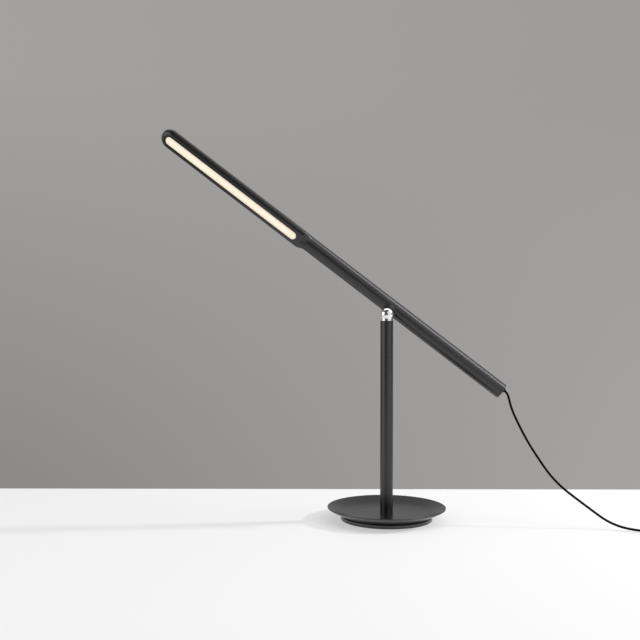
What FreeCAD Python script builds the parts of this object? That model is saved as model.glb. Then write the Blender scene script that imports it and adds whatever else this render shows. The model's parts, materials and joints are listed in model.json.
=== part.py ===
"""LED desk lamp: a dish base, an upright stem and a balanced arm on a ball joint.

The base and stem are modelled in the lamp's own frame: origin under the middle of the base, +Z up.
The arm is modelled in a frame of its own, with its origin at the ball's centre, +X along the arm to its
tail and +Z away from the light, and is then placed at its tilt and roll.
"""

import FreeCAD
import Part
import Sketcher
import math
import os
from types import SimpleNamespace

from FreeCAD import Placement, Rotation, Vector

# Driving dimensions, in millimetres and degrees
SIZES = {
    # Base
    "rim_radius": 82.5,
    "rim_height": 18.0,
    "rim_edge": 1.6,
    "rim_round": 0.6,
    "foot_inset": 20.5,
    "floor_inset": 25.5,
    "dish_floor_height": 9.4,
    "dish_soft_corner": 50.0,
    "plinth_inset": 18.7,
    "plinth_height": 5.5,
    "plinth_lift": 0.5,
    "plinth_round": 0.5,
    "pad_inset": 5.0,
    "pad_thickness": 1.5,
    "bolt_radius": 4.0,
    "bolt_head_radius": 8.0,
    "bolt_sink": 0.1,
    "bolt_head_height": 1.8,
    "bolt_reach": 14.0,
    "bolt_recess_radius": 11.0,
    "washer_radius": 10.0,
    "washer_thickness": 0.8,
    "screw_circle": 40.0,
    "screw_radius": 2.0,
    "screw_head_radius": 4.0,
    "screw_head_height": 2.0,
    "screw_reach": 6.8,
    # Stem and ball
    "stem_radius": 8.95,
    "stem_wall": 1.5,
    "stem_top": 277.2,
    "insert_length": 20.0,
    "bush_length": 18.0,
    "bush_sink": 1.9,
    "ball_rise": 8.6,
    "ball_radius": 10.0,
    "collar_radius": 8.5,
    "collar_lip": 0.35,
    "spindle_radius": 3.0,
    "spindle_length": 36.0,
    "spring_washer_radius": 5.5,
    "spring_washer_thickness": 1.0,
    "nut_corner_radius": 5.7,
    "nut_height": 5.0,
    # Arm
    "arm_tilt": 37.4,
    "arm_roll": 53.0,
    "axis_offset": 22.6,
    "tube_radius": 11.1,
    "tube_wall": 1.5,
    "tail_length": 193.5,
    "head_length": 406.8,
    "neck_start": 161.0,
    "neck_end": 148.0,
    "head_width": 29.0,
    "head_thickness": 13.0,
    "head_drop": 3.0,
    # Light
    "window_near": 167.4,
    "window_length": 229.9,
    "window_width": 12.0,
    "diffuser_flange": 1.4,
    "diffuser_body_width": 9.4,
    "diffuser_depth": 2.6,
    "tray_width": 11.7,
    "tray_wall": 1.0,
    "tray_inset": 1.2,
    "board_thickness": 1.2,
    "pad_film": 0.5,
    "led_length": 3.5,
    "led_width": 2.8,
    "led_height": 0.8,
    "led_pitch": 6.0,
    # Ball socket
    "liner_thickness": 0.8,
    "liner_reach": 6.6,
    "ball_gap": 0.1,
    "cup_radius": 8.4,
    "cup_rim": 7.9,
    "cup_neck_radius": 6.2,
    "cup_floor": 0.9,
    "magnet_radius": 5.0,
    "clamp_radius": 8.2,
    "clamp_height": 4.2,
    "neck_proud": 1.0,
    # Electronics, button and counterweight
    "driver_start": 140.0,
    "driver_length": 70.0,
    "driver_thickness": 1.6,
    "driver_drop": 3.0,
    "inductor_side": 9.0,
    "inductor_height": 6.0,
    "inductor_place": 12.0,
    "chip_length": 8.0,
    "chip_width": 10.0,
    "chip_height": 3.2,
    "button_place": 108.0,
    "button_radius": 3.4,
    "button_lip": 0.5,
    "button_lip_height": 1.0,
    "button_proud": 0.7,
    "button_travel": 0.6,
    "button_stem_radius": 1.5,
    "bezel_wall": 1.0,
    "bezel_rim": 1.0,
    "bezel_proud": 0.8,
    "bezel_depth": 4.0,
    "switch_side": 6.0,
    "switch_height": 3.4,
    "switch_tip_radius": 1.6,
    "switch_tip_height": 1.0,
    "weight_gap": 4.0,
    "weight_length": 78.0,
    # Tail and cord
    "cap_flange": 2.6,
    "cap_spigot": 9.0,
    "cap_round": 0.4,
    "gland_offset": 6.0,
    "gland_radius": 3.0,
    "gland_rim_radius": 4.2,
    "gland_rim": 1.4,
    "gland_nose": 4.4,
    "gland_wall": 0.9,
    "cord_radius": 1.6,
    "cord_start_gap": 0.8,
    "cord_exit_run": 10.0,
    "coil_lead_in": 22.0,
    "lead_radius": 0.6,
    "lead_spacing": 5.2,
    "lead_reach": 7.0,
    "cable_bend_start": 42.0,
    "cable_bend_end": 12.0,
    "cable_on_board": 8.0,
    "coil_inner_radius": 13.0,
    "coil_step": 4.1,
    "coil_layer_height": 3.8,
    "coil_lift": 1.2,
    "coil_x": 414.0,
    "coil_y": -72.0,
    "tie_thickness": 0.8,
    "tie_width": 8.0,
    "tie_slack": 0.9,
    "adapter_length": 62.0,
    "adapter_width": 36.0,
    "adapter_height": 27.0,
    "adapter_wall": 2.0,
    "adapter_round": 3.0,
    "adapter_cover_length": 12.0,
    "adapter_run": 44.0,
    "tail_run": 13.0,
    "blade_length": 16.0,
    "blade_width": 6.3,
    "blade_thickness": 1.5,
    "blade_gap": 12.7,
    "relief_length": 22.0,
    "relief_radius": 3.6,
    # Fits
    "fit": 0.05,
    "slide_fit": 0.15,
}

doc = FreeCAD.newDocument("led_desk_lamp")
sheet = doc.addObject("Spreadsheet::Sheet", "dims")
for row, (alias, number) in enumerate(SIZES.items(), start=1):
    sheet.set(f"A{row}", alias)
    sheet.set(f"B{row}", str(number))
    sheet.setAlias(f"B{row}", alias)
doc.recompute()


class Size:
    """A length worked out from the sheet: its value now, and the expression that an object is bound to."""

    def __init__(self, value, text):
        self.value = value
        self.text = text

    def __add__(self, other):
        other = as_size(other)
        return Size(self.value + other.value, f"({self.text} + {other.text})")

    def __radd__(self, other):
        return as_size(other) + self

    def __sub__(self, other):
        other = as_size(other)
        return Size(self.value - other.value, f"({self.text} - {other.text})")

    def __rsub__(self, other):
        return as_size(other) - self

    def __mul__(self, other):
        other = as_size(other)
        return Size(self.value * other.value, f"({self.text} * {other.text})")

    def __rmul__(self, other):
        return self * other

    def __truediv__(self, other):
        other = as_size(other)
        return Size(self.value / other.value, f"({self.text} / {other.text})")

    def __neg__(self):
        return Size(-self.value, f"(0 - {self.text})")


def as_size(number):
    """A plain number as a Size, and a Size as it is."""
    if isinstance(number, Size):
        return number
    return Size(float(number), repr(float(number)))


def leg(long_side, short_side):
    """The third side of a right triangle, such as half a chord."""
    square = long_side * long_side - short_side * short_side
    return Size(math.sqrt(square.value), f"sqrt({square.text})")


dim = SimpleNamespace(**{alias: Size(float(sheet.get(alias)), f"dims.{alias}") for alias in SIZES})

X_AXIS = Vector(1, 0, 0)
Y_AXIS = Vector(0, 1, 0)
Z_AXIS = Vector(0, 0, 1)
ALONG = {"Z": Rotation(), "X": Rotation(Y_AXIS, 90), "Y": Rotation(X_AXIS, -90)}
FULL_TURN = 360.0
STRAIGHT = 1e-6
sub_parts = []


def bind(thing, **properties):
    """Ties an object's properties to the sheet."""
    for name, size in properties.items():
        thing.setExpression(name.replace("__", "."), as_size(size).text)


def put(thing, x=0, y=0, z=0, along="Z"):
    """Places an object at sizes from the sheet, with its height along Z, X or Y."""
    thing.Placement = Placement(Vector(), ALONG[along])
    bind(thing, Placement__Base__x=x, Placement__Base__y=y, Placement__Base__z=z)
    return thing


def cylinder(radius, height, x=0, y=0, z=0, along="Z"):
    thing = doc.addObject("Part::Cylinder", "cylinder")
    bind(thing, Radius=radius, Height=height)
    return put(thing, x, y, z, along)


def cone(radius_low, radius_high, height, x=0, y=0, z=0, along="Z"):
    thing = doc.addObject("Part::Cone", "cone")
    bind(thing, Radius1=radius_low, Radius2=radius_high, Height=height)
    return put(thing, x, y, z, along)


def sphere(radius, z=0):
    thing = doc.addObject("Part::Sphere", "sphere")
    bind(thing, Radius=radius)
    return put(thing, z=z)


def block(length, width, height, x=0, y=0, z=0):
    """A box from x and z on, with its width centred on y."""
    thing = doc.addObject("Part::Box", "block")
    bind(thing, Length=length, Width=width, Height=height)
    return put(thing, x, y - as_size(width) / 2, z)


def fuse(*things):
    joined = doc.addObject("Part::MultiFuse", "joined")
    joined.Shapes = list(things)
    return joined


def common(first, second):
    shared = doc.addObject("Part::MultiCommon", "shared")
    shared.Shapes = [first, second]
    return shared


def cut(base, *tools):
    left = doc.addObject("Part::Cut", "left")
    left.Base = base
    left.Tool = tools[0] if len(tools) == 1 else fuse(*tools)
    return left


def group(things):
    together = doc.addObject("Part::Compound", "group")
    together.Links = list(things)
    return together


def stadium(length, width, height, x=0, z=0):
    """A plate with two round ends, whose length runs from x on along X."""
    radius = as_size(width) / 2
    return fuse(
        block(length - width, width, height, x + radius, 0, z),
        cylinder(radius, height, x + radius, 0, z),
        cylinder(radius, height, x + length - radius, 0, z),
    )


def turned(points):
    """A body turned about Z from the (radius, height) corners of its outline."""
    body = doc.addObject("PartDesign::Body", "turned")
    sketch = body.newObject("Sketcher::SketchObject", "outline")
    plane = next(f for f in body.Origin.OriginFeatures if f.Role == "XZ_Plane")
    sketch.AttachmentSupport = [(plane, "")]
    sketch.MapMode = "FlatFace"
    corners = [(as_size(r), as_size(z)) for r, z in points]
    for (r, z), (next_r, next_z) in zip(corners, corners[1:] + corners[:1]):
        start = Vector(r.value, z.value, 0)
        end = Vector(next_r.value, next_z.value, 0)
        sketch.addGeometry(Part.LineSegment(start, end))
    for i, (r, z) in enumerate(corners):
        sketch.addConstraint(Sketcher.Constraint("Coincident", i, 2, (i + 1) % len(corners), 1))
        across = sketch.addConstraint(Sketcher.Constraint("DistanceX", -1, 1, i, 1, r.value))
        sketch.setExpression(f"Constraints[{across}]", r.text)
        up = sketch.addConstraint(Sketcher.Constraint("DistanceY", -1, 1, i, 1, z.value))
        sketch.setExpression(f"Constraints[{up}]", z.text)
    turn = body.newObject("PartDesign::Revolution", "turn")
    turn.Profile = sketch
    turn.ReferenceAxis = (sketch, ["V_Axis"])
    turn.Angle = FULL_TURN
    doc.recompute()
    return body


def round_edges(body, corners, radius):
    """Rounds a turned body's edges that pass through the given (radius, height) corners."""
    base = body.Tip
    near = 0.01
    names = []
    for number, edge in enumerate(base.Shape.Edges, start=1):
        curve = edge.Curve
        if not isinstance(curve, Part.Circle):
            continue
        for r, z in corners:
            same_radius = abs(curve.Radius - as_size(r).value) < near
            same_height = abs(curve.Center.z - as_size(z).value) < near
            if same_radius and same_height:
                names.append(f"Edge{number}")
    fillet = body.newObject("PartDesign::Fillet", "rounded")
    fillet.Base = (base, names)
    bind(fillet, Radius=radius)
    doc.recompute()
    return body


def keep(name, thing, placement=None):
    """Makes an object a sub-part under its own name, in the lamp's frame or at a placement."""
    if placement is not None:
        bound = bool(thing.ExpressionEngine)
        thing = group([thing]) if bound else thing
        thing.Placement = placement
    thing.Label = name
    sub_parts.append(thing)


def keep_shape(name, shape, placement=None):
    """A sub-part whose form has no primitive: a swept or lofted shape."""
    thing = doc.addObject("Part::Feature", name)
    thing.Shape = shape
    keep(name, thing, placement or Placement())


def corner_arc(corner, back, ahead, reach):
    """The arc that rounds a corner, touching both directions at the same reach from it, and its radius."""
    turn = math.pi - back.getAngle(ahead)
    radius = reach / math.tan(turn / 2)
    middle = (back + ahead).normalize()
    arc_middle = corner + middle * (math.hypot(radius, reach) - radius)
    return Part.Arc(corner + back * reach, arc_middle, corner + ahead * reach).toShape(), radius


def rounded_path(points, radius_share=0.45):
    """Straight runs joined by tangent arcs, each as large as its two runs allow, and the least radius."""
    edges = []
    radii = []
    at = points[0]
    for before, corner, after in zip(points, points[1:], points[2:]):
        back = (before - corner).normalize()
        ahead = (after - corner).normalize()
        if math.pi - back.getAngle(ahead) < STRAIGHT:
            continue
        reach = radius_share * min(before.distanceToPoint(corner), corner.distanceToPoint(after))
        arc, radius = corner_arc(corner, back, ahead, reach)
        edges.append(Part.LineSegment(at, corner + back * reach).toShape())
        edges.append(arc)
        radii.append(radius)
        at = corner + ahead * reach
    edges.append(Part.LineSegment(at, points[-1]).toShape())
    return Part.Wire(edges), min(radii, default=0.0)


def tube_along(wire, radius):
    """A round solid swept along a wire, from its start."""
    first = wire.OrderedEdges[0]
    direction = first.tangentAt(first.FirstParameter)
    ring = Part.Wire(Part.Circle(first.firstVertex(True).Point, direction, radius).toShape())
    return wire.makePipeShell([ring], True, False)


def keep_tube(name, points, radius, placement=None):
    """A tube along a route: prints its length, its tightest bend and its volume by section times length."""
    path, least_radius = rounded_path(points)
    solid = tube_along(path, radius)
    share = solid.Volume / (math.pi * radius**2 * path.Length)
    print(f"{name}: {path.Length:.1f} mm, least bend radius {least_radius:.1f} mm, volume share {share:.4f}")
    keep_shape(name, solid, placement)


# Base

bolt_bottom = dim.pad_thickness + dim.bolt_sink
recess_top = bolt_bottom + dim.bolt_head_height + dim.washer_thickness
bolt_hole = dim.bolt_radius + dim.slide_fit
stem_bore = dim.stem_radius - dim.stem_wall
plinth_radius = dim.rim_radius - dim.plinth_inset
pad_radius = plinth_radius - dim.pad_inset


def screw_places():
    """The three plinth screws' places, evenly round the base."""
    count = 3
    for number in range(count):
        angle = 2 * math.pi * (number + 0.5) / count
        yield dim.screw_circle * math.cos(angle), dim.screw_circle * math.sin(angle)


def plinth_screw(x, y, room=0):
    """A countersunk screw from under the plinth, or the hole that it leaves with some room."""
    bottom = dim.pad_thickness
    head = cone(dim.screw_head_radius + room, dim.screw_radius + room, dim.screw_head_height, x, y, bottom)
    shank = cylinder(dim.screw_radius + room, dim.screw_reach + room, x, y, bottom)
    return fuse(head, shank)


def make_base():
    inner_rim = dim.rim_radius - dim.rim_edge
    floor_corner = (dim.rim_radius - dim.floor_inset, dim.dish_floor_height)
    dish = turned(
        [
            (bolt_hole, dim.plinth_height),
            (dim.rim_radius - dim.foot_inset, dim.plinth_height),
            (dim.rim_radius, dim.rim_height - dim.rim_edge),
            (dim.rim_radius, dim.rim_height),
            (inner_rim, dim.rim_height),
            floor_corner,
            (bolt_hole, dim.dish_floor_height),
        ]
    )
    round_edges(dish, [floor_corner], dim.dish_soft_corner)
    rim_corners = [
        (dim.rim_radius, dim.rim_height),
        (inner_rim, dim.rim_height),
        (dim.rim_radius, dim.rim_height - dim.rim_edge),
    ]
    round_edges(dish, rim_corners, dim.rim_round)
    plinth = turned(
        [
            (bolt_hole, recess_top),
            (dim.bolt_recess_radius, recess_top),
            (dim.bolt_recess_radius, dim.pad_thickness),
            (pad_radius + dim.fit, dim.pad_thickness),
            (pad_radius + dim.fit, dim.plinth_lift),
            (plinth_radius, dim.plinth_lift),
            (plinth_radius, dim.plinth_height),
            (bolt_hole, dim.plinth_height),
        ]
    )
    plinth_corners = [(plinth_radius, dim.plinth_lift), (plinth_radius, dim.plinth_height)]
    round_edges(plinth, plinth_corners, dim.plinth_round)
    keep("base_dish", cut(dish, *[plinth_screw(x, y, dim.fit) for x, y in screw_places()]))
    keep("base_plinth", cut(plinth, *[plinth_screw(x, y, dim.fit) for x, y in screw_places()]))
    keep("plinth_screws", group([plinth_screw(x, y) for x, y in screw_places()]))
    keep("foot_pad", cylinder(pad_radius, dim.pad_thickness))
    head_top = bolt_bottom + dim.bolt_head_height
    bolt_end = dim.dish_floor_height + dim.bolt_reach
    bolt_head = cylinder(dim.bolt_head_radius, dim.bolt_head_height, z=bolt_bottom)
    keep("stem_bolt", fuse(bolt_head, cylinder(dim.bolt_radius, bolt_end - bolt_bottom, z=bolt_bottom)))
    washer = cylinder(dim.washer_radius, dim.washer_thickness, z=head_top)
    keep("stem_washer", cut(washer, cylinder(bolt_hole, dim.washer_thickness, z=head_top)))


# Stem and ball

ball_height = dim.stem_top + dim.ball_rise


def tube(outer, inner, length, z):
    """A plain upright tube."""
    return turned([(inner, z), (outer, z), (outer, z + length), (inner, z + length)])


def make_stem():
    floor = dim.dish_floor_height
    keep("stem_tube", tube(dim.stem_radius, stem_bore, dim.stem_top - floor, floor))
    keep("stem_foot_insert", tube(stem_bore - dim.fit, dim.bolt_radius + dim.fit, dim.insert_length, floor))
    bush_bottom = dim.stem_top - dim.bush_sink - dim.bush_length
    spindle_hole = dim.spindle_radius + dim.fit
    keep("stem_top_bush", tube(stem_bore - dim.fit, spindle_hole, dim.bush_length, bush_bottom))
    collar_bottom = dim.stem_top + dim.slide_fit
    collar_top = ball_height - leg(dim.ball_radius, dim.collar_radius) - dim.collar_lip
    collar = cylinder(dim.collar_radius, collar_top - collar_bottom, z=collar_bottom)
    seat = sphere(dim.ball_radius + dim.fit, ball_height)
    keep("swivel_collar", cut(collar, seat, cylinder(spindle_hole, dim.ball_radius, z=collar_bottom)))
    spindle = cylinder(dim.spindle_radius, dim.spindle_length, z=ball_height - dim.spindle_length)
    keep("pivot_ball", fuse(sphere(dim.ball_radius, ball_height), spindle))
    washer_bottom = bush_bottom - dim.slide_fit - dim.spring_washer_thickness
    washer = tube(dim.spring_washer_radius, spindle_hole, dim.spring_washer_thickness, washer_bottom)
    keep("swivel_washer", washer)
    nut = doc.addObject("Part::Prism", "hexagon")
    nut.Polygon = 6
    bind(nut, Circumradius=dim.nut_corner_radius, Height=dim.nut_height)
    put(nut, z=washer_bottom - dim.nut_height)
    keep("swivel_nut", cut(nut, cylinder(spindle_hole, dim.nut_height, z=washer_bottom - dim.nut_height)))


# Arm

arm_frame = Placement(
    Vector(0, 0, ball_height.value),
    Rotation(Y_AXIS, dim.arm_tilt.value) * Rotation(X_AXIS, -dim.arm_roll.value),
)
bore = dim.tube_radius - dim.tube_wall
head_axis = dim.axis_offset - dim.head_drop
face = head_axis - dim.head_thickness / 2
head_back = head_axis + dim.head_thickness / 2 - dim.tube_wall
window_far = dim.window_near + dim.window_length


def section_corners(share, inset):
    """Eight (y, z) points round the arm, from the flat head (share 0) to the round tube (share 1)."""
    flat = (dim.head_width.value - dim.head_thickness.value) / 2
    half = dim.head_thickness.value / 2 - inset
    radius = dim.tube_radius.value - inset
    slant = radius * math.sqrt(0.5)
    head = [(-flat, half), (0, half), (flat, half), (flat + half, 0)]
    round_tube = [(-slant, slant), (0, radius), (slant, slant), (radius, 0)]
    head += [(-y, -z) for y, z in head]
    round_tube += [(-y, -z) for y, z in round_tube]
    head_z = head_axis.value
    tube_z = dim.axis_offset.value
    return [
        (hy + share * (ty - hy), hz + head_z + share * (tz + tube_z - hz - head_z))
        for (hy, hz), (ty, tz) in zip(head, round_tube)
    ]


def section_wire(x, share, inset):
    """The arm's outline across its length: four edges, of which two are flat on the head."""
    points = [Vector(x, y, z) for y, z in section_corners(share, inset)]
    edges = []
    for number in range(0, 8, 2):
        start, middle, end = points[number], points[number + 1], points[(number + 2) % 8]
        flat = share == 0 and number % 4 == 0
        edge = Part.LineSegment(start, end) if flat else Part.Arc(start, middle, end)
        edges.append(edge.toShape())
    return Part.Wire(edges)


def swaged_arm(inset, overshoot):
    """The arm's solid form, drawn in by an inset: rounded tip, flat head, swaged neck and round tube."""
    stations = 6
    neck_start = -dim.neck_start.value
    neck_end = -dim.neck_end.value
    tip_centre = dim.head_width.value / 2 - dim.head_length.value
    wires = []
    for number in range(stations + 1):
        share = number / stations
        eased = share * share * (3 - 2 * share)
        wires.append(section_wire(neck_start + share * (neck_end - neck_start), eased, inset))
    neck = Part.makeLoft(wires, True, False)
    head = Part.Face(wires[0]).extrude(Vector(tip_centre - neck_start, 0, 0))
    half = Part.makeBox(1, dim.head_width.value, 2 * dim.head_thickness.value)
    half.translate(Vector(tip_centre, 0, head_axis.value - dim.head_thickness.value))
    slice_face = Part.Face(section_wire(tip_centre, 0, inset)).common(half)
    tip = slice_face.revolve(Vector(tip_centre, 0, 0), Z_AXIS, 180)
    radius = dim.tube_radius.value - inset
    length = dim.tail_length.value + overshoot - neck_end
    barrel = Part.makeCylinder(radius, length, Vector(neck_end, 0, dim.axis_offset.value), X_AXIS)
    return head.fuse([tip, neck, barrel]).removeSplitter()


def make_arm_tube():
    shell = doc.addObject("Part::Feature", "swaged_shell")
    overshoot = 1.0
    shell.Shape = swaged_arm(0, 0).cut(swaged_arm(dim.tube_wall.value, overshoot))
    slot = stadium(
        dim.window_length + 2 * dim.fit,
        dim.window_width + 2 * dim.fit,
        2 * dim.tube_wall,
        -window_far - dim.fit,
        face - dim.tube_wall / 2,
    )
    wall_bottom = dim.axis_offset - dim.tube_radius
    socket_hole = cylinder(dim.cup_neck_radius + dim.fit, 4 * dim.tube_wall, z=wall_bottom - dim.tube_wall)
    hole_bottom = dim.axis_offset + bore / 2
    sleeve_hole = cylinder(bezel_radius + dim.fit, dim.tube_radius, -dim.button_place, 0, hole_bottom)
    keep("arm_tube", cut(shell, slot, socket_hole, sleeve_hole), arm_frame)


# Light

tray_length = dim.window_length - dim.window_width - 2 * dim.tray_inset
tray_start = -window_far + dim.window_width / 2 + dim.tray_inset
tray_back = head_back - dim.pad_film
tray_floor = tray_back - dim.tray_wall
board_face = tray_floor - dim.board_thickness


def make_light():
    body_inset = (dim.window_width - dim.diffuser_body_width) / 2
    flange = stadium(dim.window_length, dim.window_width, dim.diffuser_flange, -window_far, face)
    body = stadium(
        dim.window_length - 2 * body_inset,
        dim.diffuser_body_width,
        dim.diffuser_depth,
        -window_far + body_inset,
        face,
    )
    keep("led_diffuser", fuse(flange, body), arm_frame)
    tray_top = face + dim.diffuser_flange
    channel_width = dim.tray_width - 2 * dim.tray_wall
    tray = block(tray_length, dim.tray_width, tray_back - tray_top, tray_start, 0, tray_top)
    channel = block(tray_length, channel_width, tray_floor - tray_top, tray_start, 0, tray_top)
    keep("led_tray", cut(tray, channel), arm_frame)
    film = block(tray_length, dim.tray_width, dim.pad_film, tray_start, 0, tray_back)
    keep("thermal_pad", film, arm_frame)
    board_width = channel_width - 2 * dim.slide_fit
    board = block(tray_length, board_width, dim.board_thickness, tray_start, 0, board_face)
    keep("led_board", board, arm_frame)
    count = int(tray_length.value // dim.led_pitch.value)
    first = tray_start + (tray_length - (count - 1) * dim.led_pitch - dim.led_length) / 2
    chips = [
        block(
            dim.led_length,
            dim.led_width,
            dim.led_height,
            first + number * dim.led_pitch,
            0,
            board_face - dim.led_height,
        )
        for number in range(count)
    ]
    keep("leds", group(chips), arm_frame)


# Ball socket, which the arm's own magnet holds on the ball

liner_inner = dim.ball_radius + dim.ball_gap
liner_outer = liner_inner + dim.liner_thickness
seat_radius = liner_outer + dim.ball_gap
clamp_bottom = dim.axis_offset - bore
clamp_top = clamp_bottom + dim.clamp_height
cup_neck_top = clamp_top + dim.neck_proud


def make_socket():
    shell = cut(sphere(liner_outer), sphere(liner_inner))
    keep("socket_liner", common(shell, cylinder(dim.liner_reach, dim.ball_radius * 2)), arm_frame)
    barrel = cylinder(dim.tube_radius, 4 * dim.cup_radius, -2 * dim.cup_radius, 0, dim.axis_offset, "X")
    cup = cylinder(dim.cup_radius, dim.axis_offset - dim.cup_rim, z=dim.cup_rim)
    neck = cylinder(dim.cup_neck_radius, cup_neck_top - dim.cup_rim, z=dim.cup_rim)
    magnet_floor = seat_radius + dim.cup_floor
    magnet_height = cup_neck_top - magnet_floor
    magnet_bore = cylinder(dim.magnet_radius + dim.fit, magnet_height, z=magnet_floor)
    keep("ball_socket", cut(fuse(cut(cup, barrel), neck), sphere(seat_radius), magnet_bore), arm_frame)
    keep("socket_magnet", cylinder(dim.magnet_radius, magnet_height, z=magnet_floor), arm_frame)
    clamp = cylinder(dim.clamp_radius, dim.clamp_height, z=clamp_bottom)
    inside = cylinder(bore, 4 * dim.clamp_radius, -2 * dim.clamp_radius, 0, dim.axis_offset, "X")
    clamp_hole = cylinder(dim.cup_neck_radius + dim.fit, dim.clamp_height, z=clamp_bottom)
    keep("socket_clamp", cut(common(clamp, inside), clamp_hole), arm_frame)


# Driver, button and counterweight

bezel_radius = dim.button_radius + dim.slide_fit + dim.bezel_wall
driver_bottom = dim.axis_offset - dim.driver_drop
driver_top = driver_bottom + dim.driver_thickness
cable_height = dim.axis_offset + dim.gland_offset
gland_face = dim.tail_length + dim.cap_flange + dim.gland_nose


def make_driver():
    width = 2 * leg(bore - dim.slide_fit, dim.driver_drop)
    board = block(dim.driver_length, width, dim.driver_thickness, -dim.driver_start, 0, driver_bottom)
    inductor_start = dim.inductor_place - dim.driver_start
    inductor_top = dim.driver_thickness + dim.inductor_height
    inductor = block(dim.inductor_side, dim.inductor_side, inductor_top, inductor_start, 0, driver_bottom)
    chip_start = dim.switch_side - dim.button_place
    chip_top = dim.driver_thickness + dim.chip_height
    chip = block(dim.chip_length, dim.chip_width, chip_top, chip_start, 0, driver_bottom)
    keep("driver_board", fuse(board, inductor, chip), arm_frame)
    switch_start = -dim.button_place - dim.switch_side / 2
    case = block(dim.switch_side, dim.switch_side, dim.switch_height, switch_start, 0, driver_top)
    tip_height = dim.switch_height + dim.switch_tip_height
    tip = cylinder(dim.switch_tip_radius, tip_height, -dim.button_place, 0, driver_top)
    keep("tact_switch", fuse(case, tip), arm_frame)


def make_button():
    place = -dim.button_place
    top = dim.axis_offset + dim.tube_radius + dim.bezel_proud
    sleeve_bottom = top - dim.bezel_depth
    rim_radius = bezel_radius + dim.bezel_rim
    barrel = cylinder(dim.tube_radius, 4 * rim_radius, place - 2 * rim_radius, 0, dim.axis_offset, "X")
    rim = cut(cylinder(rim_radius, dim.bezel_depth, place, 0, sleeve_bottom), barrel)
    sleeve = cylinder(bezel_radius, dim.bezel_depth, place, 0, sleeve_bottom)
    hole = cylinder(dim.button_radius + dim.slide_fit, dim.bezel_depth, place, 0, sleeve_bottom)
    keep("button_bezel", cut(fuse(rim, sleeve), hole), arm_frame)
    lip_top = sleeve_bottom - dim.fit
    lip_bottom = lip_top - dim.button_lip_height
    tip_top = driver_top + dim.switch_height + dim.switch_tip_height
    stem_bottom = tip_top + dim.button_travel + dim.fit
    cap = cylinder(dim.button_radius, top + dim.button_proud - lip_bottom, place, 0, lip_bottom)
    lip = cylinder(dim.button_radius + dim.button_lip, dim.button_lip_height, place, 0, lip_bottom)
    stem = cylinder(dim.button_stem_radius, lip_top - stem_bottom, place, 0, stem_bottom)
    keep("power_button", fuse(cap, lip, stem), arm_frame)


def make_tail():
    weight_start = dim.tail_length - dim.cap_spigot - dim.weight_gap - dim.weight_length
    weight = cylinder(bore - dim.slide_fit, dim.weight_length, weight_start, 0, dim.axis_offset, "X")
    cable_room = 2 * dim.slide_fit
    hole_radius = dim.cord_radius + cable_room
    cable_way = cylinder(hole_radius, dim.weight_length, weight_start, 0, cable_height, "X")
    keep("counterweight", cut(weight, cable_way), arm_frame)
    cap = turned(
        [
            (0, -dim.cap_spigot),
            (bore - dim.fit, -dim.cap_spigot),
            (bore - dim.fit, 0),
            (dim.tube_radius, 0),
            (dim.tube_radius, dim.cap_flange),
            (0, dim.cap_flange),
        ]
    )
    round_edges(cap, [(dim.tube_radius, dim.cap_flange)], dim.cap_round)
    cap.Placement = Placement(Vector(), ALONG["X"])
    bind(cap, Placement__Base__x=dim.tail_length, Placement__Base__z=dim.axis_offset)
    cap_length = dim.cap_spigot + dim.cap_flange
    cap_start = dim.tail_length - dim.cap_spigot
    gland_hole = cylinder(dim.gland_radius, cap_length, cap_start, 0, cable_height, "X")
    keep("end_cap", cut(cap, gland_hole), arm_frame)
    sleeve = cylinder(dim.gland_radius - dim.fit, cap_length, cap_start, 0, cable_height, "X")
    rim_start = dim.tail_length + dim.cap_flange
    rim = cylinder(dim.gland_rim_radius, dim.gland_rim, rim_start, 0, cable_height, "X")
    nose_radius = dim.cord_radius + dim.gland_wall
    nose = cone(dim.gland_radius, nose_radius, dim.gland_nose, rim_start, 0, cable_height, "X")
    gland_length = cap_length + dim.gland_nose
    cable_hole = cylinder(dim.cord_radius + dim.fit, gland_length, cap_start, 0, cable_height, "X")
    keep("cord_gland", cut(fuse(sleeve, rim, nose), cable_hole), arm_frame)


def make_wiring():
    """The cable from the gland to the driver board, and the two leads from there to the light."""
    high = cable_height.value
    low = (driver_top + dim.cord_radius + dim.fit).value
    board_end = (dim.driver_length - dim.driver_start).value
    cable_route = [
        Vector(gland_face.value, 0, high),
        Vector(board_end + dim.cable_bend_start.value, 0, high),
        Vector(board_end + dim.cable_bend_end.value, 0, low),
        Vector(board_end - dim.cable_on_board.value, 0, low),
    ]
    keep_tube("inner_cable", cable_route, dim.cord_radius.value, arm_frame)
    on_driver = (driver_top + dim.lead_radius + dim.fit).value
    on_light = (board_face - dim.lead_radius - dim.fit).value
    tray_end = (tray_start + tray_length).value
    driver_end = -dim.driver_start.value
    reach = dim.lead_reach.value
    leads = []
    for side in (-dim.lead_spacing.value / 2, dim.lead_spacing.value / 2):
        route = [
            Vector(driver_end + reach, side, on_driver),
            Vector(driver_end - reach, side, on_driver),
            Vector(tray_end + reach, side, on_light),
            Vector(tray_end - reach, side, on_light),
        ]
        path, least_radius = rounded_path(route)
        leads.append(tube_along(path, dim.lead_radius.value))
    keep_shape("led_leads", Part.makeCompound(leads), arm_frame)


# Cord, from the gland down to the table and into a tied coil

COIL_TURNS = 3
LAST_QUARTERS = 7
QUARTER = math.pi / 2
coil_outer_radius = dim.coil_inner_radius + COIL_TURNS * dim.coil_step
coil_bottom = dim.coil_lift + dim.cord_radius
cord_diameter = 2 * dim.cord_radius.value


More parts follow.
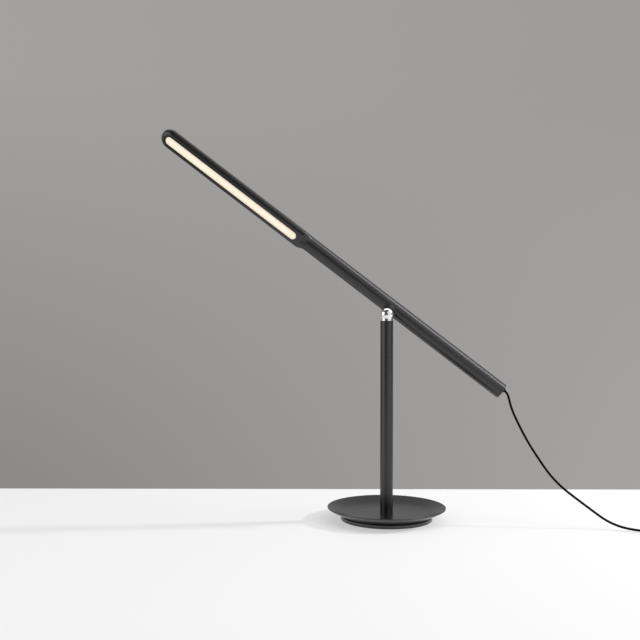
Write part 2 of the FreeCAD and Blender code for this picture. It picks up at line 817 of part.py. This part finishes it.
def biarc(start, start_way, end, end_way):
    """Two arcs that join two points and meet their directions."""
    chord = end - start
    both = start_way + end_way
    spread = 2 * (1 - start_way.dot(end_way))
    along = chord.dot(both)
    reach = (math.sqrt(along * along + spread * chord.dot(chord)) - along) / spread
    first_corner = start + start_way * reach
    last_corner = end - end_way * reach
    across = (last_corner - first_corner).normalize()
    first_arc, first_radius = corner_arc(first_corner, -start_way, across, reach)
    last_arc, last_radius = corner_arc(last_corner, -across, end_way, reach)
    return [first_arc, last_arc]


def coil_points():
    """A point and a direction at each quarter turn: layers that spiral in and out, half a turn up between."""
    radii = [coil_outer_radius.value]
    heights = [coil_bottom.value]
    step = dim.coil_step.value / 4
    rise = dim.coil_layer_height.value / 2
    full_layer = 4 * COIL_TURNS
    moves = [(full_layer, -step, 0), (2, 0, rise), (full_layer, step, 0), (2, 0, rise)]
    moves += [(full_layer, -step, 0), (2, 0, rise), (LAST_QUARTERS, step, 0)]
    for quarters, outward, upward in moves:
        for number in range(quarters):
            radii.append(radii[-1] + outward)
            heights.append(heights[-1] + upward)
    last = len(radii) - 1
    for number in range(last + 1):
        angle = (number - 1) * QUARTER
        inner = 0 < number < last
        widening = (radii[number + 1] - radii[number - 1]) / (2 * QUARTER) if inner else 0
        climb = (heights[number + 1] - heights[number - 1]) / (2 * QUARTER) if inner else 0
        outward = Vector(math.cos(angle), math.sin(angle), 0)
        round_way = Vector(-math.sin(angle), math.cos(angle), 0)
        centre = Vector(dim.coil_x.value, dim.coil_y.value, heights[number])
        way = (outward * widening + round_way * radii[number] + Z_AXIS * climb).normalize()
        yield centre + outward * radii[number], way


def least_self_gap(wire, radius):
    """The least gap between a tube's turns, measured on points along its path."""
    spacing = 1.5
    apart = int(8 * radius / spacing)
    points = wire.discretize(Distance=spacing)
    nearest = min(
        points[i].distanceToPoint(points[j])
        for i in range(len(points))
        for j in range(i + apart, len(points))
    )
    return nearest - 2 * radius


def make_cord():
    turns = list(coil_points())
    entry, entry_way = turns[0]
    leave, leave_way = turns[-1]
    coil_start = entry - entry_way * cord_diameter
    coil_end = leave + leave_way * cord_diameter
    edges = [Part.LineSegment(coil_start, entry).toShape()]
    for (start, start_way), (end, end_way) in zip(turns, turns[1:]):
        edges += biarc(start, start_way, end, end_way)
    edges.append(Part.LineSegment(leave, coil_end).toShape())
    coil_path = Part.Wire(edges)
    gap = least_self_gap(coil_path, dim.cord_radius.value)
    print(f"cord_coil: {coil_path.Length:.1f} mm, least gap to itself {gap:.2f} mm")
    gland_end = arm_frame.multVec(Vector(gland_face.value, 0, cable_height.value))
    arm_way = arm_frame.Rotation.multVec(X_AXIS)
    cord_start = gland_end + arm_way * dim.cord_start_gap.value
    drop_route = [
        cord_start,
        cord_start + arm_way * dim.cord_exit_run.value,
        Vector(179.0, 18.0, 160.6),
        Vector(181.0, 12.2, 147.0),
        Vector(189.0, 1.6, 124.8),
        Vector(203.0, -10.8, 96.6),
        Vector(228.6, -27.0, 63.4),
        Vector(262.0, -45.2, 32.4),
        Vector(300.0, -63.0, 11.0),
        Vector(334.0, -82.0, 1.9),
        coil_start - entry_way * dim.coil_lead_in.value,
        coil_start,
    ]
    keep_tube("cord_drop", drop_route, dim.cord_radius.value)
    keep_shape("cord_coil", tube_along(coil_path, dim.cord_radius.value))
    relief_face = Vector(adapter_x.value, relief_y.value, adapter_middle.value)
    tail_route = [
        coil_end,
        coil_end + Y_AXIS * dim.tail_run.value,
        relief_face - Y_AXIS * dim.tail_run.value,
        relief_face,
    ]
    keep_tube("cord_tail", tail_route, dim.cord_radius.value)
    tie_inner = dim.coil_inner_radius - dim.cord_radius - dim.tie_slack
    tie_outer = coil_outer_radius + dim.cord_radius + dim.tie_slack
    tie_bottom = dim.coil_lift - dim.slide_fit
    coil_top = coil_bottom + 3 * dim.coil_layer_height + dim.cord_radius
    hole_width = tie_outer - tie_inner
    hole_height = coil_top + dim.slide_fit - tie_bottom
    hole = block(hole_width, dim.tie_width, hole_height, dim.coil_x - tie_outer, dim.coil_y, tie_bottom)
    band = block(
        hole_width + 2 * dim.tie_thickness,
        dim.tie_width,
        hole_height + 2 * dim.tie_thickness,
        dim.coil_x - tie_outer - dim.tie_thickness,
        dim.coil_y,
        tie_bottom - dim.tie_thickness,
    )
    keep("cord_tie", cut(band, hole))


# Mains adapter at the cord's end

adapter_x = dim.coil_x + dim.coil_inner_radius + LAST_QUARTERS * dim.coil_step / 4
relief_y = dim.coil_y + dim.adapter_run
adapter_y = relief_y + dim.relief_length
adapter_middle = dim.adapter_height / 2


def adapter_block(length, y):
    """A block across the adapter's full section, with its long edges rounded."""
    low = dim.adapter_round
    width = dim.adapter_width
    left = adapter_x - width / 2
    flat = block(width, length, dim.adapter_height - 2 * low, left, y + length / 2, low)
    upright = block(width - 2 * low, length, dim.adapter_height, left + low, y + length / 2, 0)
    edges = [
        cylinder(low, length, x, y, z, "Y")
        for x in (left + low, left + width - low)
        for z in (low, dim.adapter_height - low)
    ]
    return fuse(flat, upright, *edges)


def adapter_room(length, y):
    """The space inside the adapter's walls."""
    width = dim.adapter_width - 2 * dim.adapter_wall
    height = dim.adapter_height - 2 * dim.adapter_wall
    return block(width, length, height, adapter_x - width / 2, y + length / 2, dim.adapter_wall)


def blades(room, length, y):
    """The two blades of the plug, or their slots with some room."""
    thickness = dim.blade_thickness + 2 * room
    height = dim.blade_width + 2 * room
    low = adapter_middle - height / 2
    places = (adapter_x - dim.blade_gap / 2, adapter_x + dim.blade_gap / 2)
    return [block(thickness, length, height, x - thickness / 2, y + length / 2, low) for x in places]


def make_adapter():
    split = adapter_y + dim.adapter_cover_length
    case_length = dim.adapter_length - dim.adapter_cover_length
    end = adapter_y + dim.adapter_length
    blade_root = dim.adapter_wall + dim.relief_radius
    case = adapter_block(case_length, split)
    room = adapter_room(case_length - dim.adapter_wall, split)
    keep("adapter_case", cut(case, room, *blades(dim.fit, dim.adapter_length, end - blade_root)))
    cover_room = adapter_room(dim.adapter_cover_length - dim.adapter_wall, adapter_y + dim.adapter_wall)
    relief_hole_radius = dim.relief_radius + dim.fit
    relief_hole = cylinder(relief_hole_radius, dim.adapter_wall, adapter_x, adapter_y, adapter_middle, "Y")
    keep("adapter_cover", cut(adapter_block(dim.adapter_cover_length, adapter_y), cover_room, relief_hole))
    keep("adapter_blades", group(blades(0, blade_root + dim.blade_length, end - blade_root)))
    tip_radius = dim.cord_radius + dim.gland_wall
    nose = cone(tip_radius, dim.relief_radius, dim.relief_length, adapter_x, relief_y, adapter_middle, "Y")
    root = cylinder(dim.relief_radius, dim.adapter_wall, adapter_x, adapter_y, adapter_middle, "Y")
    flange_radius = dim.relief_radius + dim.adapter_wall
    flange_y = adapter_y + dim.adapter_wall
    flange = cylinder(flange_radius, dim.adapter_wall, adapter_x, flange_y, adapter_middle, "Y")
    keep("adapter_relief", fuse(nose, root, flange))
    board_width = dim.adapter_width - 2 * dim.adapter_wall - 2 * dim.slide_fit
    board_length = case_length - 2 * dim.adapter_wall - blade_root
    board_left = adapter_x - board_width / 2
    board_y = split + board_length / 2
    board = block(board_width, board_length, dim.driver_thickness, board_left, board_y, dim.adapter_wall)
    core_width = board_width / 2
    core_left = adapter_x - core_width / 2
    core = block(core_width, board_length / 2, adapter_middle, core_left, board_y, dim.adapter_wall)
    keep("adapter_board", fuse(board, core))


make_base()
make_stem()
make_arm_tube()
make_light()
make_socket()
make_driver()
make_button()
make_tail()
make_wiring()
make_cord()
make_adapter()
doc.recompute()

for thing in doc.Objects:
    if "Invalid" in thing.State or "Error" in thing.State:
        raise RuntimeError(f"{thing.Name} ({thing.Label}) did not recompute: {thing.State}")
for thing in sub_parts:
    if thing.Shape.isNull() or not thing.Shape.isValid():
        raise RuntimeError(f"{thing.Label} has no valid shape")

os.makedirs("parts", exist_ok=True)
for thing in sub_parts:
    thing.Shape.exportStep(f"parts/{thing.Label}.step")
print(f"{len(sub_parts)} sub-parts written")
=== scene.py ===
"""LED desk lamp: the looks, the cord, the stage and the camera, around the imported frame."""

import json
import math

import bpy
from mathutils import Euler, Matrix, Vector


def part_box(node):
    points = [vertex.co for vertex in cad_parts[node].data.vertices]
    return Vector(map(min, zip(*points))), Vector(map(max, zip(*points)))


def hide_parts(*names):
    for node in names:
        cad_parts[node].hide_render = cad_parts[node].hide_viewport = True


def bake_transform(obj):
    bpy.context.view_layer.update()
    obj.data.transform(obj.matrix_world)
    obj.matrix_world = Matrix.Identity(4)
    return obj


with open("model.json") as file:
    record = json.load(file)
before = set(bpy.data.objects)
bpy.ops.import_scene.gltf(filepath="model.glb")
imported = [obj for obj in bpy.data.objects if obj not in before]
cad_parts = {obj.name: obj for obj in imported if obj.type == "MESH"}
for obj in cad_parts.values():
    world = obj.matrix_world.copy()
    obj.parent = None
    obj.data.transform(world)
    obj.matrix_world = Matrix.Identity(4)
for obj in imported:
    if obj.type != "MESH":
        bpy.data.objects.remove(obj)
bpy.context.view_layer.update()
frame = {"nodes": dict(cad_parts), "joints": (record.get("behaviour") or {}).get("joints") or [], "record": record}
nodes = frame["nodes"]
joints = {joint["name"]: joint for joint in frame["joints"]}

MM = 0.001
BALL = Vector(joints["arm_roll"]["pos_m"])
ARM_X = Vector(joints["arm_roll"]["axis"]).normalized()
ARM_Z = -Vector(joints["power_press"]["axis"]).normalized()
ARM_Y = ARM_Z.cross(ARM_X)


# Materials

FINE_DETAIL = 3.0
BROAD_DETAIL = 4.0
GRAINS_PER_PATCH = 40
NOISE_RANGE = (0.3, 0.7)
TINT_RANGE = (0.35, 0.65)

LED_PITCH = 6.0 * MM
LED_SCALLOP = 0.12
DIFFUSER_COLOUR = (0.05, 0.05, 0.04)
DIFFUSER_ROUGHNESS = 0.6
# From the window's middle line, 0, to its rim, 1: the middle, the seam, the lip and the rim
LIGHT_STOPS = [
    (0.45, (0.95, 0.87, 0.71)),
    (0.68, (0.76, 0.65, 0.48)),
    (0.80, (0.90, 0.80, 0.62)),
    (1.00, (0.74, 0.63, 0.46)),
]


def new_material(name, colour, roughness, metallic=0.0):
    """A material with its shader's plain settings, and its node tree."""
    material = bpy.data.materials.new(name)
    material.use_nodes = True
    tree = material.node_tree
    shader = tree.nodes["Principled BSDF"]
    shader.inputs["Base Color"].default_value = (*colour, 1)
    shader.inputs["Roughness"].default_value = roughness
    shader.inputs["Metallic"].default_value = metallic
    return material, tree, shader


def noise(tree, scale, detail):
    """A noise texture in the object's own frame, with a scale per metre."""
    place = tree.nodes.new("ShaderNodeTexCoord")
    texture = tree.nodes.new("ShaderNodeTexNoise")
    texture.inputs["Scale"].default_value = scale
    texture.inputs["Detail"].default_value = detail
    tree.links.new(place.outputs["Object"], texture.inputs["Vector"])
    return texture.outputs["Fac"]


def spread(tree, value, low, high):
    """Maps a noise value to a range of its own."""
    remap = tree.nodes.new("ShaderNodeMapRange")
    remap.inputs["From Min"].default_value = NOISE_RANGE[0]
    remap.inputs["From Max"].default_value = NOISE_RANGE[1]
    remap.inputs["To Min"].default_value = low
    remap.inputs["To Max"].default_value = high
    tree.links.new(value, remap.inputs["Value"])
    return remap.outputs["Result"]


def colour_ramp(tree, value, stops):
    """Colours along a value, from two or more stops, each a position and a colour."""
    node = tree.nodes.new("ShaderNodeValToRGB")
    elements = node.color_ramp.elements
    for number, (position, colour) in enumerate(stops):
        if number < len(elements):
            elements[number].position = position
            elements[number].color = (*colour, 1)
        else:
            elements.new(position).color = (*colour, 1)
    tree.links.new(value, node.inputs["Fac"])
    return node.outputs["Color"]


def bump(tree, shader, value, strength, distance):
    node = tree.nodes.new("ShaderNodeBump")
    node.inputs["Strength"].default_value = strength
    node.inputs["Distance"].default_value = distance
    tree.links.new(value, node.inputs["Height"])
    tree.links.new(node.outputs["Normal"], shader.inputs["Normal"])


def textured(
    name,
    dark,
    light,
    roughness,
    rough_range,
    grain,
    metallic=0.0,
    bump_strength=0.15,
    bump_depth=0.00003,
    specular=0.5,
):
    """A finish with fine grain: colour and roughness vary a little, and the grain shows as bump."""
    material, tree, shader = new_material(name, dark, roughness, metallic)
    shader.inputs["Specular IOR Level"].default_value = specular
    fine = noise(tree, grain, FINE_DETAIL)
    broad = noise(tree, grain / GRAINS_PER_PATCH, BROAD_DETAIL)
    tint = colour_ramp(tree, broad, list(zip(TINT_RANGE, (dark, light))))
    rough = spread(tree, fine, roughness - rough_range, roughness + rough_range)
    tree.links.new(tint, shader.inputs["Base Color"])
    tree.links.new(rough, shader.inputs["Roughness"])
    bump(tree, shader, fine, bump_strength, bump_depth)
    return material


def calculate(tree, operation, first, second=0.0):
    """A math node on one or two values, each a socket or a plain number."""
    node = tree.nodes.new("ShaderNodeMath")
    node.operation = operation
    for socket, value in zip(node.inputs, (first, second)):
        if isinstance(value, (int, float)):
            socket.default_value = value
        else:
            tree.links.new(value, socket)
    return node.outputs["Value"]


def along_axis(tree, axis, middle):
    """A place in the piece's own frame, measured along an axis from a middle point."""
    place = tree.nodes.new("ShaderNodeTexCoord")
    product = tree.nodes.new("ShaderNodeVectorMath")
    product.operation = "DOT_PRODUCT"
    product.inputs[1].default_value = axis
    tree.links.new(place.outputs["Object"], product.inputs[0])
    return calculate(tree, "SUBTRACT", product.outputs["Value"], middle)


def lit_material(piece):
    """The lit diffuser: warm light that is deeper at the window's rim, scalloped a little by the LEDs."""
    lengths = [vertex.co.dot(ARM_X) for vertex in piece.data.vertices]
    widths = [vertex.co.dot(ARM_Y) for vertex in piece.data.vertices]
    half_width = (max(widths) - min(widths)) / 2
    straight = (max(lengths) - min(lengths)) / 2 - half_width
    material, tree, shader = new_material("lit_diffuser", DIFFUSER_COLOUR, DIFFUSER_ROUGHNESS)
    along = along_axis(tree, ARM_X, (max(lengths) + min(lengths)) / 2)
    across = along_axis(tree, ARM_Y, (max(widths) + min(widths)) / 2)
    past_straight = calculate(tree, "SUBTRACT", calculate(tree, "ABSOLUTE", along), straight)
    end = calculate(tree, "MAXIMUM", past_straight, 0.0)
    squares = calculate(
        tree, "ADD", calculate(tree, "POWER", end, 2.0), calculate(tree, "MULTIPLY", across, across)
    )
    outward = calculate(tree, "DIVIDE", calculate(tree, "SQRT", squares), half_width)
    wave = calculate(tree, "COSINE", calculate(tree, "MULTIPLY", along, 2 * math.pi / LED_PITCH))
    depth = calculate(tree, "ADD", outward, calculate(tree, "MULTIPLY", wave, LED_SCALLOP))
    glow = colour_ramp(tree, depth, LIGHT_STOPS)
    tree.links.new(glow, shader.inputs["Emission Color"])
    shader.inputs["Emission Strength"].default_value = 1.0
    return material


# Name, dark and light colour, roughness and how far it varies, grains per metre
black_coat = textured(
    "black_coat", (0.0040, 0.0040, 0.0045), (0.0054, 0.0054, 0.0060), 0.33, 0.03, 2600,
    bump_strength=0.05, specular=0.70,
)
base_coat = textured(
    "base_coat", (0.0056, 0.0056, 0.0060), (0.0074, 0.0074, 0.0078), 0.24, 0.03, 2200,
    bump_strength=0.05, specular=0.90,
)
chrome = textured(
    "chrome", (0.80, 0.80, 0.82), (0.84, 0.84, 0.86), 0.06, 0.02, 900,
    metallic=1.0, bump_strength=0.02, bump_depth=0.00001,
)
brushed_steel = textured(
    "brushed_steel", (0.50, 0.50, 0.50), (0.60, 0.60, 0.60), 0.32, 0.08, 1200, metallic=1.0
)
brass = textured("brass", (0.62, 0.42, 0.16), (0.70, 0.50, 0.22), 0.30, 0.08, 1200, metallic=1.0)
bare_aluminium = textured(
    "bare_aluminium", (0.66, 0.66, 0.67), (0.74, 0.74, 0.75), 0.30, 0.08, 1200, metallic=1.0
)
nickel = textured("nickel", (0.62, 0.60, 0.55), (0.70, 0.68, 0.63), 0.22, 0.06, 1000, metallic=1.0)
felt = textured(
    "felt", (0.012, 0.012, 0.012), (0.030, 0.030, 0.030), 0.95, 0.04, 1800,
    bump_strength=0.6, bump_depth=0.0003,
)
nylon = textured("nylon", (0.006, 0.006, 0.006), (0.010, 0.010, 0.010), 0.60, 0.06, 1500)
film = textured("film", (0.16, 0.17, 0.19), (0.20, 0.21, 0.23), 0.80, 0.06, 1500)
white_board = textured("white_board", (0.80, 0.80, 0.78), (0.85, 0.85, 0.83), 0.45, 0.06, 1500)
phosphor = textured("phosphor", (0.85, 0.62, 0.12), (0.90, 0.70, 0.18), 0.30, 0.06, 1500)
red_wire = textured("red_wire", (0.40, 0.02, 0.02), (0.48, 0.03, 0.02), 0.45, 0.06, 1500)
green_board = textured("green_board", (0.01, 0.09, 0.03), (0.02, 0.13, 0.05), 0.40, 0.08, 1200)
black_plastic = textured(
    "black_plastic", (0.012, 0.012, 0.013), (0.018, 0.018, 0.019), 0.52, 0.06, 2400
)
black_rubber = textured(
    "black_rubber", (0.002, 0.002, 0.002), (0.003, 0.003, 0.003), 0.55, 0.06, 2000, specular=0.06
)

FINISHES = {
    "black_steel": base_coat,
    "black_aluminium": black_coat,
    "foot_felt": felt,
    "zinc_steel": brushed_steel,
    "brass_bush": brass,
    "chrome": chrome,
    "steel_clamp": brushed_steel,
    "black_nylon": nylon,
    "lit_diffuser": lit_material(nodes["led_diffuser"]),
    "bare_aluminium": bare_aluminium,
    "grey_film": film,
    "white_board": white_board,
    "led_yellow": phosphor,
    "wire_red": red_wire,
    "green_board": green_board,
    "black_plastic": black_plastic,
    "black_rubber": black_rubber,
    "tie_black": black_plastic,
    "nickel": nickel,
}


def give(piece, material):
    piece.data.materials.clear()
    piece.data.materials.append(material)


for subpart in frame["record"]["subparts"]:
    give(nodes[subpart["node"]], FINISHES[subpart["material_slot"]])
# The stem has the arm's satin coat, and the socket's cup is matte
give(nodes["stem_tube"], black_coat)
give(nodes["ball_socket"], nylon)


# Cord, in the frame's millimetres, along the route that the solids follow

CORD_RADIUS = 1.6
CORD_SIDES = 16
CORD_STEPS = 6
CORD_ORDER = 3
GLAND_ALONG = 200.5
GLAND_ABOVE = 28.6
EXIT_RUN = 5.0
DROP_ROUTE = [
    (175.9, 20.0, 164.0),
    (178.2, 14.6, 152.0),
    (184.0, 9.0, 137.0),
    (192.6, 1.6, 117.4),
    (203.0, -8.6, 97.0),
    (228.0, -25.5, 57.0),
    (266.1, -45.0, 27.8),
    (297.3, -59.0, 4.8),
    (334.0, -82.0, 1.9),
]
LEAD_IN = 22.0
COIL_CENTRE = (414.0, -72.0)
COIL_BOTTOM = 2.8
COIL_INNER_RADIUS = 13.0
COIL_STEP = 4.1
COIL_LAYER_HEIGHT = 3.8
COIL_TURNS = 3
LAST_QUARTERS = 7
POINTS_PER_TURN = 16
TAIL_RUN = 13.0

# In metres: the upper length's share of the cord, where the lower length starts
HANG_START = 0.080


def coil_route():
    """The coil's points: layers that spiral in and out, with half a turn up between them."""
    radius = COIL_INNER_RADIUS + COIL_TURNS * COIL_STEP
    height = COIL_BOTTOM
    angle = -math.pi / 2
    layer = COIL_TURNS * POINTS_PER_TURN
    last_layer = LAST_QUARTERS * POINTS_PER_TURN // 4
    climb = POINTS_PER_TURN // 2
    turn = 2 * math.pi / POINTS_PER_TURN
    widen = COIL_STEP / POINTS_PER_TURN
    rise = COIL_LAYER_HEIGHT / climb
    moves = [
        (layer, -widen, 0),
        (climb, 0, rise),
        (layer, widen, 0),
        (climb, 0, rise),
        (layer, -widen, 0),
        (climb, 0, rise),
        (last_layer, widen, 0),
    ]
    points = []
    for count, outward, upward in moves:
        for _ in range(count):
            points.append((radius, angle, height))
            radius += outward
            height += upward
            angle += turn
    points.append((radius, angle, height))
    # The spline runs a little inside its control points
    inside_spline = math.cos(math.pi / POINTS_PER_TURN / math.sqrt(2))
    return [
        (
            COIL_CENTRE[0] + r / inside_spline * math.cos(a),
            COIL_CENTRE[1] + r / inside_spline * math.sin(a),
            z,
        )
        for r, a, z in points
    ]


def cord_points():
    """The whole cord's line: a smooth spline with the route's points as its control points."""
    gland_end = BALL / MM + ARM_X * GLAND_ALONG + ARM_Z * GLAND_ABOVE
    turns = [Vector(point) for point in coil_route()]
    low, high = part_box("adapter_relief")
    relief = Vector(((low[0] + high[0]) / 2, low[1], (low[2] + high[2]) / 2)) / MM
    route = [gland_end, gland_end + ARM_X * EXIT_RUN]
    route += [Vector(point) for point in DROP_ROUTE]
    route.append(turns[0] - Vector((LEAD_IN, 0, 0)))
    route += turns
    route += [turns[-1] + Vector((0, TAIL_RUN, 0)), relief - Vector((0, TAIL_RUN, 0)), relief]
    curve = bpy.data.curves.new("cord_line", "CURVE")
    curve.dimensions = "3D"
    curve.resolution_u = CORD_STEPS
    spline = curve.splines.new("NURBS")
    spline.points.add(len(route) - 1)
    for point, place in zip(spline.points, route):
        point.co = (*(place * MM), 1)
    spline.order_u = CORD_ORDER
    spline.use_endpoint_u = True
    holder = bpy.data.objects.new("cord_line", curve)
    line = bpy.data.meshes.new_from_object(holder)
    points = [vertex.co.copy() for vertex in line.vertices]
    bpy.data.objects.remove(holder)
    bpy.data.curves.remove(curve)
    bpy.data.meshes.remove(line)
    return points


def tube(name, points, radius, sides):
    """A closed round tube along points, whose rings turn as little as they can from one to the next."""
    directions = []
    for number in range(len(points)):
        before = points[max(number - 1, 0)]
        after = points[min(number + 1, len(points) - 1)]
        directions.append((after - before).normalized())
    side = directions[0].orthogonal().normalized()
    vertices = []
    faces = []
    for number, (point, way) in enumerate(zip(points, directions)):
        side = (side - way * side.dot(way)).normalized()
        up = way.cross(side)
        for step in range(sides):
            angle = 2 * math.pi * step / sides
            vertices.append(point + (side * math.cos(angle) + up * math.sin(angle)) * radius)
        if number:
            ring = number * sides
            for step in range(sides):
                ahead = (step + 1) % sides
                faces.append((ring - sides + step, ring - sides + ahead, ring + ahead, ring + step))
    faces.append(tuple(reversed(range(sides))))
    faces.append(tuple(range(len(vertices) - sides, len(vertices))))
    mesh = bpy.data.meshes.new(name)
    mesh.from_pydata(vertices, [], faces)
    mesh.shade_smooth()
    piece = bpy.data.objects.new(name, mesh)
    bpy.context.scene.collection.objects.link(piece)
    return piece


def make_cord():
    """Two lengths of one cord, split HANG_START along it, in black rubber; the cord's solids are hidden."""
    points = cord_points()
    gone = 0.0
    split = 0
    while gone < HANG_START:
        gone += (points[split + 1] - points[split]).length
        split += 1
    upper_points = points[: split + 1]
    lower_points = points[split:]
    upper = tube("cord_upper", upper_points, CORD_RADIUS * MM, CORD_SIDES)
    lower = tube("cord_lower", lower_points, CORD_RADIUS * MM, CORD_SIDES)
    for piece in (upper, lower):
        give(piece, black_rubber)
    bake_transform(upper)
    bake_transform(lower)
    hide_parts("cord_drop", "cord_coil", "cord_tail")


make_cord()


# Stage, light and camera

# The table ends on the left just outside the camera's view, as its reflection in the head asks
TABLE_BACK = 0.2207
TABLE_FRONT = -4.0
TABLE_LEFT = -0.68
TABLE_RIGHT = 3.5
TABLE_COLOUR = (0.42, 0.42, 0.42)
TABLE_ROUGHNESS = 0.6
TABLE_GLOW = 0.465
CAMERA_PLACE = (-0.0933, -1.244, 0.2782)
CAMERA_ROLL = math.radians(0.1)
CAMERA_LENS = 50.06
CAMERA_SENSOR = 36
ROOM_FRONT = (0.10, 0.10, 0.10)
ROOM_BACK = (0.38, 0.375, 0.37)
ROOM_TURN = 0.5
WALL_TINT = (1.03, 1.0, 0.985)
WALL_LEVEL = 0.325
WALL_ACROSS = 0.09
WALL_UP = 0.087
WALL_TWIST = -0.51
WALL_WIDE = 0.4
WALL_HIGH = 0.25
WHITE = (1, 1, 1)
COOL = (0.90, 0.90, 1.0)
# Name, place, target, size, watts, colour, and whether it shows in reflections
LIGHTS = [
    ("key_low", (2.48, 0.375, 1.35), (0, 0, 0.05), (0.15, 0.15), 62, WHITE, False),
    ("strip_high", (1.32, 0.02, 1.52), (0.1, 0, 0.2), (0.8, 1.1), 13.5, COOL, True),
    ("panel_right", (1.3, -1.2, 1.08), (0, 0, 0.25), (2.6, 2.2), 14, WHITE, True),
    ("strip_left", (-1.37, -0.6, 0.6), (0, 0, 0.3), (1.3, 1.4), 8, WHITE, True),
    ("top_back", (0.0, 0.5, 2.2), (0, 0, 0), (2.0, 1.2), 9, WHITE, True),
]


def make_stage():
    """A white table that glows a little, which keeps the shadows on it pale."""
    mesh = bpy.data.meshes.new("table_top")
    corners = [
        (TABLE_LEFT, TABLE_FRONT, 0),
        (TABLE_RIGHT, TABLE_FRONT, 0),
        (TABLE_RIGHT, TABLE_BACK, 0),
        (TABLE_LEFT, TABLE_BACK, 0),
    ]
    mesh.from_pydata(corners, [], [(0, 1, 2, 3)])
    table = bpy.data.objects.new("table_top", mesh)
    bpy.context.scene.collection.objects.link(table)
    material, _, shader = new_material("table_white", TABLE_COLOUR, TABLE_ROUGHNESS)
    shader.inputs["Emission Color"].default_value = (*WHITE, 1)
    shader.inputs["Emission Strength"].default_value = TABLE_GLOW
    give(table, material)


def within(tree, value, limit):
    """A value kept between a limit and its negative."""
    return calculate(tree, "MAXIMUM", calculate(tree, "MINIMUM", value, limit), -limit)


def room_shade(tree, forward):
    """The room that the lamp reflects, darker in front than behind."""
    remap = tree.nodes.new("ShaderNodeMapRange")
    remap.inputs["From Min"].default_value = -ROOM_TURN
    remap.inputs["From Max"].default_value = ROOM_TURN
    tree.links.new(forward, remap.inputs["Value"])
    return colour_ramp(tree, remap.outputs["Result"], [(0.0, ROOM_FRONT), (1.0, ROOM_BACK)])


def wall_shade(tree, sideways, upward):
    """The grey wall behind the lamp, whose light falls off across it and upwards."""
    across = within(tree, sideways, WALL_WIDE)
    up = within(tree, upward, WALL_HIGH)
    twist = calculate(tree, "MULTIPLY", calculate(tree, "MULTIPLY", across, up), WALL_TWIST)
    slope_across = calculate(tree, "MULTIPLY", across, WALL_ACROSS)
    slope_up = calculate(tree, "MULTIPLY", up, WALL_UP)
    slope = calculate(tree, "ADD", slope_across, slope_up)
    level = calculate(tree, "ADD", calculate(tree, "ADD", slope, twist), WALL_LEVEL)
    tint = tree.nodes.new("ShaderNodeVectorMath")
    tint.operation = "SCALE"
    tint.inputs[0].default_value = WALL_TINT
    tree.links.new(level, tint.inputs["Scale"])
    return tint.outputs["Vector"]


def make_world():
    """The wall is the background that the camera sees, and the room is what lights and reflects."""
    world = bpy.data.worlds.new("studio")
    world.use_nodes = True
    tree = world.node_tree
    place = tree.nodes.new("ShaderNodeTexCoord")
    split = tree.nodes.new("ShaderNodeSeparateXYZ")
    tree.links.new(place.outputs["Generated"], split.inputs["Vector"])
    room = tree.nodes["Background"]
    tree.links.new(room_shade(tree, split.outputs["Y"]), room.inputs["Color"])
    wall = tree.nodes.new("ShaderNodeBackground")
    tree.links.new(wall_shade(tree, split.outputs["X"], split.outputs["Z"]), wall.inputs["Color"])
    rays = tree.nodes.new("ShaderNodeLightPath")
    mix = tree.nodes.new("ShaderNodeMixShader")
    tree.links.new(rays.outputs["Is Camera Ray"], mix.inputs["Fac"])
    tree.links.new(room.outputs["Background"], mix.inputs[1])
    tree.links.new(wall.outputs["Background"], mix.inputs[2])
    tree.links.new(mix.outputs["Shader"], tree.nodes["World Output"].inputs["Surface"])
    bpy.context.scene.world = world


def area_light(name, place, target, size, power, colour, glossy):
    """A soft rectangular light that faces a point."""
    light = bpy.data.lights.new(name, "AREA")
    light.shape = "RECTANGLE"
    light.size, light.size_y = size
    light.energy = power
    light.color = colour
    holder = bpy.data.objects.new(name, light)
    holder.location = place
    way = Vector(target) - Vector(place)
    holder.rotation_euler = way.to_track_quat("-Z", "Y").to_euler()
    holder.visible_glossy = glossy
    bpy.context.scene.collection.objects.link(holder)


def make_camera():
    data = bpy.data.cameras.new("camera")
    data.lens = CAMERA_LENS
    data.sensor_width = CAMERA_SENSOR
    camera = bpy.data.objects.new("camera", data)
    camera.location = CAMERA_PLACE
    camera.rotation_euler = Euler((math.pi / 2, -CAMERA_ROLL, 0))
    bpy.context.scene.collection.objects.link(camera)
    bpy.context.scene.camera = camera


make_stage()
make_world()
for light in LIGHTS:
    area_light(*light)
make_camera()
bpy.context.scene.view_settings.view_transform = "Standard"
